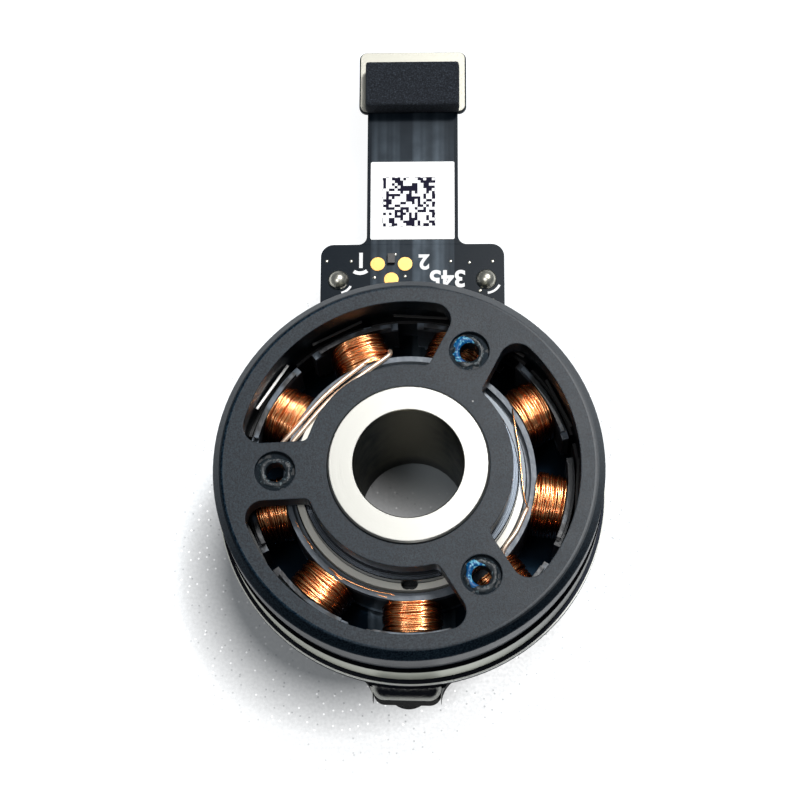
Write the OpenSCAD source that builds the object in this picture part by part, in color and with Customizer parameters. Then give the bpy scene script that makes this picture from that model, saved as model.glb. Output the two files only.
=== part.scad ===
// Hollow shaft gimbal motor: a nine slot, twelve pole outrunner on a ribbon board.
// The axis of rotation is Z, the base stands on Z = 0 and the ribbon leaves along +Y.

/* [Shaft and bearings] */
// Bore through the hollow shaft
bore_d = 7.05; // [6.9:0.05:7.4]
// Wall of the hollow shaft
shaft_wall = 0.475; // [0.35:0.025:0.55]
// Width of the steel face of the shaft, from the bore to its edge
face_w = 1.65; // [1.45:0.05:1.75]
// Height of the steel face above the bell
face_proud = 0.3; // [0.1:0.05:0.5]
// Radial section of each bearing
bearing_t = 2; // [1.9:0.05:2.2]
// Width of each bearing
bearing_h = 2.5; // [2.3:0.1:2.6]
// Diameter of each bearing ball
ball_d = 1; // [0.9:0.05:1.1]
// Number of balls in each bearing
ball_count = 14; // [9:1:15]
// Wall of the bearing sleeve
sleeve_wall = 1.05; // [0.9:0.05:1.2]

/* [Stator] */
// Number of teeth and coils
tooth_count = 9; // [9:3:9]
// Direction of the first tooth
tooth_turn = 31; // [0:1:39]
// Radial width of the yoke
yoke_w = 1.13; // [1.05:0.01:1.2]
// Radial length of each winding
coil_w = 2.05; // [1.95:0.05:2.15]
// Thickness of the tooth tips
tip_t = 0.45; // [0.4:0.05:0.5]
// Width of each tooth
tooth_w = 2.2; // [2:0.1:2.4]
// Angle that each tooth tip spans
tip_span = 33; // [30:1:35]
// Height of the lamination stack
stack_h = 3.2; // [2.8:0.1:3.4]
// Thickness of the insulating end plates
insulator_t = 0.3; // [0.2:0.05:0.35]
// Thickness of the winding over the tooth ends
coil_end_t = 0.7; // [0.6:0.05:0.8]
// Thickness of the winding beside the teeth
coil_side_t = 1; // [0.8:0.05:1.1]
// Diameter of the winding wire
wire_d = 0.15; // [0.12:0.01:0.16]
// Turns drawn on the outside of each winding
wire_turns = 3; // [2:1:3]
// Diameter of the wires that join the coils
link_d = 0.24; // [0.18:0.02:0.26]

/* [Rotor] */
// Air gap between the teeth and the magnets
air_gap = 0.2; // [0.15:0.05:0.3]
// Number of magnets
magnet_count = 12; // [12:2:14]
// Thickness of the magnets
magnet_t = 1; // [0.9:0.05:1.2]
// Height of the magnets
magnet_h = 2.5; // [2.3:0.1:2.6]
// Share of the ring that the magnets cover
magnet_share = 0.9; // [0.8:0.05:0.95]
// Wall of the steel ring behind the magnets
ring_wall = 0.66; // [0.55:0.01:0.8]
// Height of the steel ring
ring_h = 2.9; // [2.8:0.1:3.1]
// Height of the groove between the ring and the bell's flange
groove_h = 1.5; // [1.3:0.1:1.6]
// Height of the bell's flange
flange_h = 2.6; // [2.4:0.1:3]
// Width and depth of the bevel round the bell's face
bevel = 0.55; // [0.3:0.05:0.7]
// Thickness of the bell's face
web_t = 1.6; // [1.4:0.1:1.7]
// Number of arms
arm_count = 3; // [3:1:3]
// Direction of the first arm
arm_turn = 62.7; // [0:0.1:119]
// Width of each arm
arm_w = 3.78; // [3.4:0.02:4.2]
// Width of the hub's face outside the steel face
hub_w = 1.49; // [1.4:0.01:1.7]
// Fillet where the windows meet the rim
outer_fillet = 1.15; // [0.6:0.05:1.3]
// Fillet where the windows meet the hub
inner_fillet = 0.5; // [0.3:0.05:0.7]
// Diameter of the tapped holes in the arms
tap_d = 1.3; // [1.2:0.05:1.6]
// Pitch circle of the tapped holes in the arms
tap_pcd = 17; // [16.6:0.1:17.4]
// Diameter of the countersunk seats round the tapped holes
seat_d = 2.6; // [2.2:0.1:2.9]
// Depth of those seats
seat_depth = 0.3; // [0.2:0.05:0.4]

/* [Base] */
// Height of the base at its rim
base_h = 5.65; // [5.4:0.05:6]
// Thickness of the rim plate
plate_t = 0.65; // [0.5:0.05:0.9]
// How far the rim plate stands out past the steel ring
plate_proud = 0.3; // [0.2:0.05:0.5]
// How far the rim plate overhangs the base's wall
plate_lip = 0.6; // [0.5:0.05:0.8]
// Gap between the base and the steel ring
run_gap = 0.35; // [0.25:0.05:0.5]
// Depth of the cup that holds the board
cup_depth = 1.55; // [1.5:0.05:1.7]
// Wall of the cup
cup_wall = 0.5; // [0.4:0.05:0.6]
// Height of the tapered foot of the base
foot_h = 2; // [1.5:0.1:2.4]
// Inward taper of that foot
foot_in = 0.8; // [0.6:0.05:0.9]
// Pitch circle of the tapped holes under the base
base_pcd = 19.2; // [19:0.1:19.4]
// Direction of the first tapped hole under the base
base_tap_turn = 30; // [0:1:119]
// Diameter of the tapped holes under the base
base_tap_d = 1.3; // [1.2:0.05:1.6]
// Depth of the tapped holes under the base
base_tap_depth = 3; // [2.6:0.1:3.2]
// Depth of the pocket under the base
pocket_depth = 2.2; // [1.6:0.1:2.4]
// Width of the stop lug at the front
lug_w = 4.5; // [4.2:0.1:5]
// How far the lug reaches past the rim plate
lug_reach = 0.85; // [0.7:0.05:1.2]
// Thickness of the lug
lug_t = 2; // [1.6:0.1:2.1]
// Corner radius of the lug
lug_corner = 0.8; // [0.5:0.05:1]
// Fillet between the lug and the base
lug_fillet = 2; // [1.6:0.1:2.2]
// Diameter of the peg under the lug
peg_d = 3; // [2.4:0.1:3.2]

/* [Board and ribbon] */
// Thickness of the circuit board
board_t = 0.4; // [0.35:0.05:0.5]
// Width of the board's shoulders
shoulder_w = 12.7; // [12.4:0.1:13.2]
// Distance from the axis to the end of the shoulders
shoulder_y = 18.1; // [18:0.05:19]
// Corner radius of the shoulders
shoulder_corner = 0.9; // [0.6:0.05:1.2]
// Width of the ribbon
ribbon_w = 6.34; // [6:0.02:6.6]
// Thickness of the ribbon
ribbon_t = 0.2; // [0.15:0.01:0.25]
// Length of the ribbon past the shoulders, up to the connector
ribbon_l = 9.95; // [8.5:0.05:12]
// Fillet between the shoulders and the ribbon
neck_fillet = 0.6; // [0.4:0.05:0.8]
// Thickness of the stiffener under the shoulders
stiffener_t = 0.5; // [0.4:0.05:0.6]
// Width of the white label
label_w = 5.85; // [5.2:0.05:5.9]
// Length of the white label
label_l = 5.8; // [5:0.1:6]
// Width of the steel plate behind the connector
end_w = 7.36; // [7:0.02:7.8]
// Length of that plate
end_l = 4.5; // [4.2:0.05:4.8]
// Thickness of that plate
end_t = 0.2; // [0.15:0.01:0.25]
// Width of the foam pad
foam_w = 6.6; // [6.2:0.1:6.8]
// Length of the foam pad
foam_l = 3.4; // [3.2:0.1:3.6]
// Height of the foam pad
foam_h = 1.5; // [1.2:0.1:1.8]
// Width of the connector
plug_w = 7.56; // [7.2:0.02:7.8]
// Length of the connector
plug_l = 2.8; // [2.6:0.1:3]
// Height of the connector
plug_h = 1; // [0.8:0.1:1.2]
// Number of contacts in each row of the connector
contact_count = 12; // [8:1:12]

/* [Hidden] */
$fn = 96;
COILS = [for (i = [1:tooth_count]) str("coil_", i)];
MAGNETS = [for (i = [1:magnet_count]) str("magnet_", i)];

// One overrun serves every cut
over = 0.5;
// Clearance of seats that are pressed or glued
fit = 0.02;
// Clearance of running surfaces in the bearings
play = 0.03;

// Radii, from the bore outwards
bore_r = bore_d / 2;
shaft_r = bore_r + shaft_wall;
face_r = bore_r + face_w;
bearing_r = shaft_r + bearing_t;
ball_pitch_r = shaft_r + bearing_t / 2;
race_gap_share = 0.6;
race_half_gap = race_gap_share * ball_d / 2;
sleeve_r = bearing_r + sleeve_wall;
core_r = sleeve_r + fit;
yoke_r = core_r + yoke_w;
tip_in_r = yoke_r + coil_w;
tip_r = tip_in_r + tip_t;
magnet_r = tip_r + air_gap;
ring_in_r = magnet_r + magnet_t + fit;
ring_r = ring_in_r + ring_wall;
flange_inset = 0.06;
flange_r = ring_r - flange_inset;
window_clear = 0.05;
window_r = magnet_r + window_clear;
hub_r = face_r + hub_w;
plate_r = ring_r + plate_proud;
body_r = plate_r - plate_lip;
cup_r = body_r - cup_wall;

// Heights, from the base upwards
board_z = base_h - cup_depth;
board_top = board_z + board_t;
coil_clear = 0.4;
coil_half_h = stack_h / 2 + insulator_t + coil_end_t;
stack_mid = board_top + coil_clear + coil_half_h;
stack_z = stack_mid - stack_h / 2;
stack_top = stack_mid + stack_h / 2;
ring_z = base_h + run_gap;
ring_top = ring_z + ring_h;
spigot_h = 0.3;
magnet_top = ring_top - spigot_h;
flange_z = ring_top + groove_h;
face_z = flange_z + flange_h;
web_z = face_z - web_t;
boss_h = 0.7;
upper_top = web_z - boss_h;
upper_z = upper_top - bearing_h;
floor_clear = 0.2;
collar_h = 0.7;
shim_t = 0.3;
lower_z = floor_clear + collar_h + shim_t;
lower_top = lower_z + bearing_h;
sleeve_z = lower_z - floor_clear;
sleeve_over = 0.1;
sleeve_top = upper_top + sleeve_over;

// Ring with a square section
module tube(r_in, r_out, z0, z1) {
    translate([0, 0, z0]) difference() {
        cylinder(r = r_out, h = z1 - z0);
        translate([0, 0, -over]) cylinder(r = r_in, h = z1 - z0 + 2 * over);
    }
}

// Flat ring outline
module ring_2d(r_in, r_out) {
    difference() {
        circle(r = r_out);
        circle(r = r_in);
    }
}

// Rectangle with round corners, its middle at the origin
module rounded_2d(w, l, r) {
    square([w - 2 * r, l], center = true);
    square([w, l - 2 * r], center = true);
    for (x = [-1, 1], y = [-1, 1]) translate([x * (w / 2 - r), y * (l / 2 - r)]) circle(r = r);
}

// Copies of its children round the axis
module around(count, turn = 0) {
    for (i = [0:count - 1]) rotate([0, 0, turn + i * 360 / count]) children();
}

// Material that fills the inside corner between a circle about the origin and the straight
// edge y = edge. With inside = true the corner lies within the circle, otherwise outside it.
module corner_fill_2d(r, edge, fillet, inside) {
    reach = inside ? r - fillet : r + fillet;
    cy = edge + fillet;
    cx = sqrt(pow(reach, 2) - pow(cy, 2));
    meet_x = sqrt(pow(r, 2) - pow(edge, 2));
    push = inside ? r + fillet / 2 : r - fillet / 2;
    touch = [cx, cy] * push / reach;
    meet = [meet_x, edge] * push / r;
    difference() {
        polygon([[cx, cy], [cx, edge - fit], [meet[0], edge - fit], meet, touch]);
        translate([cx, cy]) circle(r = fillet);
    }
}

// Rotor

boss_r = ball_pitch_r - race_half_gap;
seat_share = 0.56;
seat_z = face_z - seat_share * web_t;
groove_in = 0.15;
groove_r = flange_r - groove_in;
rim_r = window_r + 3 * window_clear;
spigot_r = ring_in_r - fit;
pull_in = 0.12;

module bell_profile_2d() {
    polygon([
        [shaft_r + fit, upper_top],
        [boss_r, upper_top],
        [boss_r, web_z],
        [rim_r, web_z],
        [rim_r, magnet_top],
        [spigot_r, magnet_top],
        [spigot_r, ring_top],
        [groove_r, ring_top],
        [groove_r, flange_z],
        [flange_r - pull_in, flange_z],
        [flange_r, flange_z + pull_in],
        [flange_r, face_z - bevel],
        [flange_r - bevel, face_z],
        [face_r + fit, face_z],
        [face_r + fit, seat_z],
        [shaft_r + fit, seat_z]
    ]);
}

module windows_2d() {
    difference() {
        ring_2d(hub_r, window_r);
        around(arm_count, arm_turn) {
            translate([0, -arm_w / 2]) square([window_r + over, arm_w]);
            for (side = [0, 1]) mirror([0, side]) {
                corner_fill_2d(window_r, arm_w / 2, outer_fillet, true);
                corner_fill_2d(hub_r, arm_w / 2, inner_fillet, false);
            }
        }
    }
}

module rotor_bell() {
    color([0.16, 0.16, 0.18]) difference() {
        rotate_extrude() bell_profile_2d();
        translate([0, 0, web_z - over]) linear_extrude(web_t + 2 * over) windows_2d();
        around(arm_count, arm_turn) translate([tap_pcd / 2, 0, 0]) {
            translate([0, 0, web_z - over]) cylinder(d = tap_d, h = web_t + 2 * over);
            translate([0, 0, face_z - seat_depth]) cylinder(d = seat_d, h = seat_depth + over);
        }
    }
}

ring_bevel = 0.1;

module flux_ring() {
    color([0.62, 0.63, 0.58]) rotate_extrude() polygon([
        [ring_in_r, ring_z],
        [ring_r - ring_bevel, ring_z],
        [ring_r, ring_z + ring_bevel],
        [ring_r, ring_top - ring_bevel],
        [ring_r - ring_bevel, ring_top],
        [ring_in_r, ring_top]
    ]);
}

module magnet(i) {
    pitch = 360 / magnet_count;
    span = magnet_share * pitch;
    color([0.08, 0.08, 0.09]) rotate([0, 0, i * pitch - span / 2])
        rotate_extrude(angle = span)
            translate([magnet_r, magnet_top - magnet_h]) square([magnet_t, magnet_h]);
}

bore_bevel = 0.06;
face_bevel = 0.12;

module hollow_shaft() {
    top = face_z + face_proud;
    color([0.86, 0.86, 0.84]) rotate_extrude() polygon([
        [bore_r, floor_clear + bore_bevel],
        [bore_r + bore_bevel, floor_clear],
        [shaft_r, floor_clear],
        [shaft_r, seat_z],
        [face_r, seat_z],
        [face_r, top - face_bevel],
        [face_r - face_bevel, top],
        [bore_r + bore_bevel, top],
        [bore_r, top - bore_bevel]
    ]);
}

collar_w = 1.35;

module lock_collar() {
    color([0.7, 0.7, 0.7]) tube(shaft_r + fit, shaft_r + collar_w, floor_clear, floor_clear + collar_h);
}

module shim_washer() {
    color([0.75, 0.74, 0.7]) tube(shaft_r + 2 * fit, boss_r, floor_clear + collar_h, lower_z);
}

module race_spacer() {
    color([0.72, 0.72, 0.72]) tube(shaft_r + fit, boss_r, lower_top, upper_z);
}

// Bearings

race_bevel = 0.1;

module race_groove() {
    rotate_extrude() translate([ball_pitch_r, 0]) circle(d = ball_d + 2 * play);
}

module inner_race(z) {
    color([0.78, 0.78, 0.8]) translate([0, 0, z + bearing_h / 2]) difference() {
        tube(shaft_r + fit, ball_pitch_r - race_half_gap, -bearing_h / 2, bearing_h / 2);
        race_groove();
    }
}

module outer_race(z) {
    outer = bearing_r - fit;
    inner = ball_pitch_r + race_half_gap;
    color([0.74, 0.74, 0.76]) translate([0, 0, z + bearing_h / 2]) difference() {
        rotate_extrude() polygon([
            [inner, -bearing_h / 2],
            [outer - race_bevel, -bearing_h / 2],
            [outer, race_bevel - bearing_h / 2],
            [outer, bearing_h / 2 - race_bevel],
            [outer - race_bevel, bearing_h / 2],
            [inner, bearing_h / 2]
        ]);
        race_groove();
    }
}

module ball_places(z) {
    around(ball_count) translate([ball_pitch_r, 0, z + bearing_h / 2]) children();
}

module balls(z) {
    color([0.85, 0.85, 0.87]) ball_places(z) sphere(d = ball_d);
}

cage_low_share = 0.33;
cage_high_share = 0.8;

// The crown cage is open below, so that the balls snap in
module cage(z) {
    half_w = race_half_gap - 2 * play;
    mid = z + bearing_h / 2;
    color([0.72, 0.6, 0.35]) difference() {
        tube(
            ball_pitch_r - half_w,
            ball_pitch_r + half_w,
            mid - cage_low_share * ball_d,
            mid + cage_high_share * ball_d
        );
        ball_places(z) sphere(d = ball_d + 2 * play);
    }
}

// Base

sleeve_seat_r = sleeve_r + fit;
mouth_r = shaft_r + collar_w + sleeve_wall / 2;
pocket_wall = 1.2;
pocket_in_r = sleeve_seat_r + pocket_wall;
pocket_out_r = body_r - foot_in - cup_wall;
base_boss_wall = 0.85;
board_slot_clear = 0.15;
lug_drop = 0.2;
lug_turn = -91.3;
lug_top = base_h - plate_t - lug_drop;
lug_z = lug_top - lug_t;
lug_end = plate_r + lug_reach;
flare_drop = 0.6;
peg_lift = 0.5;
peg_inset = 0.1;

module base_profile_2d() {
    polygon([
        [mouth_r, 0],
        [body_r - foot_in, 0],
        [body_r, foot_h],
        [body_r, base_h - plate_t],
        [plate_r, base_h - plate_t],
        [plate_r, base_h],
        [cup_r, base_h],
        [cup_r, board_z],
        [sleeve_seat_r, board_z],
        [sleeve_seat_r, sleeve_z],
        [mouth_r, sleeve_z]
    ]);
}

// The lug is a rounded tab on top of a plinth that flares into the base's wall
module lug() {
    length = lug_end - cup_r;
    mid = (lug_end + cup_r) / 2;
    rotate([0, 0, lug_turn]) {
        translate([mid, 0, lug_z]) linear_extrude(lug_t) rounded_2d(length, lug_w, lug_corner);
        translate([0, 0, lug_z]) linear_extrude(lug_t - flare_drop)
            for (side = [0, 1]) mirror([0, side])
                corner_fill_2d(body_r, lug_w / 2, lug_fillet, false);
        translate([lug_end - peg_d / 2 - peg_inset, 0, peg_lift])
            cylinder(d = peg_d, h = lug_z - peg_lift + lug_t / 2);
    }
}

module base_housing() {
    slot_w = shoulder_w + 2 * board_slot_clear;
    boss_d = base_tap_d + 2 * base_boss_wall;
    color([0.13, 0.13, 0.15]) difference() {
        union() {
            rotate_extrude() base_profile_2d();
            lug();
        }
        translate([-slot_w / 2, sleeve_seat_r, board_z])
            cube([slot_w, plate_r, cup_depth + over]);
        translate([0, 0, -over]) linear_extrude(pocket_depth + over) difference() {
            ring_2d(pocket_in_r, pocket_out_r);
            around(arm_count, base_tap_turn) translate([base_pcd / 2, 0]) circle(d = boss_d);
        }
        around(arm_count, base_tap_turn) translate([base_pcd / 2, 0, -over])
            cylinder(d = base_tap_d, h = base_tap_depth + over);
    }
}

step_w = 0.5;
step_share = 0.43;
shoulder_r = sleeve_r + step_share * sleeve_wall;

module bearing_sleeve() {
    color([0.8, 0.8, 0.78]) rotate_extrude() polygon([
        [bearing_r, sleeve_z],
        [sleeve_r, sleeve_z],
        [sleeve_r, board_z],
        [shoulder_r, board_z],
        [shoulder_r, stack_z],
        [sleeve_r, stack_z],
        [sleeve_r, sleeve_top - bore_bevel],
        [sleeve_r - bore_bevel, sleeve_top],
        [bearing_r, sleeve_top],
        [bearing_r, upper_z],
        [bearing_r - step_w, upper_z],
        [bearing_r - step_w, lower_top],
        [bearing_r, lower_top]
    ]);
}

// Stator

tooth_pitch = 360 / tooth_count;
insulator_in_r = shoulder_r + 4 * fit;
wall_share = 0.7;
yoke_wall_w = 0.35;
tip_wall_span = 28;
tip_wall_w = 0.28;

// Sector of a ring, centred on +X
module sector_2d(r_in, r_out, span) {
    reach = 2 * r_out;
    intersection() {
        ring_2d(r_in, r_out);
        polygon([[0, 0], [reach, -reach * tan(span / 2)], [reach, reach * tan(span / 2)]]);
    }
}

module stator_2d(inner, width) {
    ring_2d(inner, yoke_r);
    around(tooth_count, tooth_turn) {
        translate([yoke_r - yoke_w / 2, -width / 2]) square([coil_w + yoke_w / 2 + tip_t / 2, width]);
        sector_2d(tip_in_r, tip_r, tip_span);
    }
}

module stator_core() {
    color([0.4, 0.41, 0.43]) translate([0, 0, stack_z]) linear_extrude(stack_h)
        stator_2d(core_r, tooth_w);
}

// End plate with walls that hold the coils in, made for the upper end
module insulator() {
    wall = insulator_t + wall_share * coil_end_t;
    linear_extrude(insulator_t) stator_2d(insulator_in_r, tooth_w);
    linear_extrude(wall) {
        ring_2d(yoke_r - yoke_wall_w, yoke_r);
        around(tooth_count, tooth_turn)
            sector_2d(tip_in_r, tip_in_r + tip_wall_w, tip_wall_span);
    }
}

module insulator_top() {
    color([0.42, 0.45, 0.47]) translate([0, 0, stack_top]) insulator();
}

module insulator_bottom() {
    color([0.42, 0.45, 0.47]) translate([0, 0, stack_z]) mirror([0, 0, 1]) insulator();
}

clamp_h = 0.8;
clamp_notch_r = 0.4;
clamp_notch_side = 0.15;

module stator_clamp_ring() {
    color([0.8, 0.77, 0.68]) difference() {
        tube(sleeve_r + fit, shoulder_r, stack_top, stack_top + clamp_h);
        for (side = [-1, 1]) translate([side * clamp_notch_side, -sleeve_r, stack_top - over])
            cylinder(r = clamp_notch_r, h = clamp_h + 2 * over);
    }
}

// Coils. Each outline is a superellipse about the tooth, in sideways and upright sizes.

rings = 24;
sides = 6;
end_gap = 0.04;
round_share = 0.5;
wire_r = wire_d / 2;
coil_half_w = tooth_w / 2 + coil_side_t;
coil_r0 = yoke_r + end_gap;
coil_r1 = tip_in_r - end_gap;
turn_step = (coil_r1 - coil_r0 - wire_d) / wire_turns;
core_inset = wire_d + 2 * fit;

function round_point(a, half_w, half_h) = [
    half_w * sign(cos(a)) * pow(abs(cos(a)), round_share),
    half_h * sign(sin(a)) * pow(abs(sin(a)), round_share)
];

// The wire bends with the yoke, so its distance to the motor's axis sets its place outwards
function wire_point(k) =
    let (
        a = -90 + k * 360 / rings,
        p = round_point(a, coil_half_w - wire_r, coil_half_h - wire_r),
        r = coil_r0 + wire_r + turn_step * k / rings
    )
    [sqrt(pow(r, 2) - pow(p[0], 2)), p[0], stack_mid + p[1]];

function unit(v) = v / norm(v);

WIRE = [for (k = [0:rings * wire_turns]) wire_point(k)];

function wire_ring(k) =
    let (
        last = len(WIRE) - 1,
        along = unit(WIRE[min(k + 1, last)] - WIRE[max(k - 1, 0)]),
        e1 = unit(cross(along, [1, 0, 0])),
        e2 = cross(along, e1)
    )
    [for (s = [0:sides - 1]) WIRE[k] + wire_r * (cos(s * 360 / sides) * e1 + sin(s * 360 / sides) * e2)];

module wire_turns_solid() {
    last = len(WIRE) - 1;
    points = [for (k = [0:last]) each wire_ring(k)];
    walls = [for (k = [0:last - 1], s = [0:sides - 1])
        let (a = k * sides + s, b = k * sides + (s + 1) % sides)
        each [[a, a + sides, b], [b, a + sides, b + sides]]];
    ends = [
        for (s = [1:sides - 2]) [0, s, s + 1],
        for (s = [1:sides - 2]) [last * sides, last * sides + s + 1, last * sides + s]
    ];
    polyhedron(points = points, faces = concat(walls, ends));
}

least_gap = min([for (i = [0:len(WIRE) - 1], j = [i + rings / 2:1:len(WIRE) - 1])
    norm(WIRE[i] - WIRE[j])]) - wire_d;
echo(least_gap_between_turns_mm = least_gap);

module coil_core() {
    outline = [for (k = [0:rings - 1])
        round_point(k * 360 / rings, coil_half_w - core_inset, coil_half_h - core_inset)];
    hole_w = tooth_w + 2 * end_gap;
    hole_h = stack_h + 2 * insulator_t + 2 * end_gap;
    intersection() {
        translate([0, 0, stack_mid]) rotate([90, 0, 90]) linear_extrude(tip_r) difference() {
            polygon(outline);
            square([hole_w, hole_h], center = true);
        }
        tube(coil_r0, coil_r1, stack_mid - 2 * coil_half_h, stack_mid + 2 * coil_half_h);
    }
}

module coil(i) {
    color([0.78, 0.4, 0.16]) rotate([0, 0, tooth_turn + (i - 1) * tooth_pitch]) {
        coil_core();
        wire_turns_solid();
    }
}

link_lift = 0.02;
link_r = (insulator_in_r + yoke_r - yoke_wall_w) / 2;
// Start and sweep of each joining wire, as shares of a full turn
link_shares = [[0.24, 0.2], [0.56, 0.17], [0.88, 0.2]];

module link_wires() {
    color([0.8, 0.42, 0.18]) for (s = link_shares) rotate([0, 0, 360 * s[0]])
        rotate_extrude(angle = 360 * s[1])
            translate([link_r, stack_top + insulator_t + link_d / 2 + link_lift]) circle(d = link_d);
}

// Board and ribbon

board_r = cup_r - board_slot_clear;
board_in_r = shoulder_r + board_slot_clear;
rivet_edge_x = 1.25;
rivet_edge_y = 2.6;
rivet_x = shoulder_w / 2 - rivet_edge_x;
rivet_y = shoulder_y - rivet_edge_y;
rivet_d = 0.9;
rivet_head_d = 1.45;
rivet_head_h = 0.6;
rivet_tail_d = 1.3;
rivet_tail_h = 0.2;
ribbon_y0 = shoulder_y;
end_y = shoulder_y + ribbon_l;
tab_edge = 0.1;

module board_2d() {
    difference() {
        union() {
            circle(r = board_r);
            translate([0, shoulder_y / 2])
                rounded_2d(shoulder_w, shoulder_y, shoulder_corner);
        }
        circle(r = board_in_r);
    }
}

module rivet_holes() {
    for (x = [-1, 1]) translate([x * rivet_x, rivet_y, board_z - stiffener_t - over])
        cylinder(d = rivet_d + 2 * fit, h = stiffener_t + board_t + 2 * over);
}

module circuit_board() {
    color([0.05, 0.07, 0.09]) difference() {
        translate([0, 0, board_z]) linear_extrude(board_t) board_2d();
        rivet_holes();
    }
}

module board_stiffener() {
    inset = 0.15;
    color([0.2, 0.2, 0.21]) difference() {
        translate([0, shoulder_y / 2, board_z - stiffener_t]) linear_extrude(stiffener_t)
            rounded_2d(shoulder_w - 2 * inset, shoulder_y - 2 * inset, shoulder_corner);
        translate([0, 0, board_z - stiffener_t - over])
            cylinder(r = body_r + board_slot_clear, h = stiffener_t + 2 * over);
        rivet_holes();
    }
}

module board_rivets() {
    dome_r = (pow(rivet_head_d / 2, 2) + pow(rivet_head_h, 2)) / (2 * rivet_head_h);
    low = board_z - stiffener_t - rivet_tail_h;
    color([0.82, 0.82, 0.78]) for (x = [-1, 1]) translate([x * rivet_x, rivet_y, 0]) {
        translate([0, 0, low]) cylinder(d = rivet_tail_d, h = rivet_tail_h);
        translate([0, 0, low]) cylinder(d = rivet_d, h = board_top - low);
        intersection() {
            translate([0, 0, board_top + rivet_head_h - dome_r]) sphere(r = dome_r);
            translate([0, 0, board_top]) cylinder(d = rivet_head_d, h = rivet_head_h + over);
        }
    }
}

sensor_w = 1.5;
sensor_l = 0.8;
sensor_h = 0.6;

module hall_sensors() {
    mid_r = magnet_r + sensor_l / 2 - air_gap;
    color([0.07, 0.07, 0.07]) for (i = [0, 1, 2])
        rotate([0, 0, tooth_turn + (i + 4.5) * tooth_pitch]) translate([mid_r, 0, board_top])
            linear_extrude(sensor_h) square([sensor_l, sensor_w], center = true);
}

pad_d = 1;
pad_h = 0.05;
pad_mid_share = -0.23;
pad_mid_x = pad_mid_share * ribbon_w;
pad_step_x = 0.95;
pad_step_y = 1.12;
pad_edge_y = 1.45;
pad_y = shoulder_y - pad_edge_y;

module test_pads() {
    color([0.93, 0.72, 0.3])
        for (p = [[-pad_step_x, pad_y], [pad_step_x, pad_y], [0, pad_y - pad_step_y]])
            translate([pad_mid_x + p[0], p[1], board_top]) cylinder(d = pad_d, h = pad_h);
}

chip_w = 0.5;
chip_l = 0.7;
chip_h = 0.3;

module board_chip() {
    color([0.1, 0.08, 0.07]) translate([pad_mid_x, pad_y + chip_l / 2, board_top])
        linear_extrude(chip_h) square([chip_w, chip_l], center = true);
}

module ribbon() {
    low = board_top - ribbon_t;
    color([0.05, 0.07, 0.1]) translate([0, 0, low]) linear_extrude(ribbon_t) {
        translate([-ribbon_w / 2, ribbon_y0]) square([ribbon_w, end_y + end_l / 2 - ribbon_y0]);
        translate([0, end_y + end_l / 2])
            rounded_2d(end_w + 2 * tab_edge, end_l + 2 * tab_edge, end_corner + tab_edge);
        for (side = [0, 1]) mirror([side, 0]) translate([ribbon_w / 2, ribbon_y0]) difference() {
            square(neck_fillet);
            translate([neck_fillet, neck_fillet]) circle(r = neck_fillet);
        }
    }
}

label_t = 0.06;
label_gap = 0.35;
label_corner = 0.12;

module code_label() {
    color([0.93, 0.93, 0.95]) translate([0, ribbon_y0 + label_gap + label_l / 2, board_top])
        linear_extrude(label_t) rounded_2d(label_w, label_l, label_corner);
}

end_corner = 0.45;
foam_corner = 0.2;
foam_over = 0.2;

module end_plate() {
    color([0.8, 0.79, 0.74]) translate([0, end_y + end_l / 2, board_top])
        linear_extrude(end_t) rounded_2d(end_w, end_l, end_corner);
}

module foam_pad() {
    color([0.08, 0.09, 0.12]) translate([0, end_y - foam_over + foam_l / 2, board_top + end_t])
        linear_extrude(foam_h) rounded_2d(foam_w, foam_l, foam_corner);
}

plug_corner = 0.2;
plug_wall = 0.35;
plug_floor = 0.3;
tongue_w = 0.5;
plug_mid_y = end_y + end_l / 2 - 0.5 * end_corner;
plug_top = board_top - ribbon_t;
contact_pitch = (plug_w - 6 * plug_wall) / (contact_count - 1);
contact_w_share = 0.5;
contact_t = 0.12;

// The plug is a frame round a middle tongue, open downwards
module connector_body() {
    color([0.13, 0.13, 0.14]) translate([0, plug_mid_y, plug_top - plug_h]) difference() {
        linear_extrude(plug_h) rounded_2d(plug_w, plug_l, plug_corner);
        translate([0, 0, -over]) linear_extrude(plug_h - plug_floor + over) difference() {
            square([plug_w - 2 * plug_wall, plug_l - 2 * plug_wall], center = true);
            square([plug_w - 4 * plug_wall, tongue_w], center = true);
        }
    }
}

module connector_contacts() {
    high = plug_h - plug_floor - contact_t;
    color([0.9, 0.7, 0.3]) for (side = [-1, 1], i = [0:contact_count - 1])
        translate([
            (i - (contact_count - 1) / 2) * contact_pitch,
            plug_mid_y + side * (tongue_w + contact_t) / 2,
            plug_top - plug_floor - high / 2
        ])
            cube([contact_w_share * contact_pitch, contact_t, high], center = true);
}

rotor_bell();
flux_ring();
hollow_shaft();
lock_collar();
shim_washer();
race_spacer();
inner_race(upper_z);  // upper_inner_race
outer_race(upper_z);  // upper_outer_race
balls(upper_z);  // upper_balls
cage(upper_z);  // upper_cage
inner_race(lower_z);  // lower_inner_race
outer_race(lower_z);  // lower_outer_race
balls(lower_z);  // lower_balls
cage(lower_z);  // lower_cage
base_housing();
bearing_sleeve();
stator_core();
stator_clamp_ring();
insulator_top();
insulator_bottom();
link_wires();
circuit_board();
board_stiffener();
board_rivets();
hall_sensors();
board_chip();
test_pads();
ribbon();
code_label();
end_plate();
foam_pad();
connector_body();
connector_contacts();
for (i = [1:tooth_count]) coil(i);
for (i = [1:magnet_count]) magnet(i);
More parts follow.
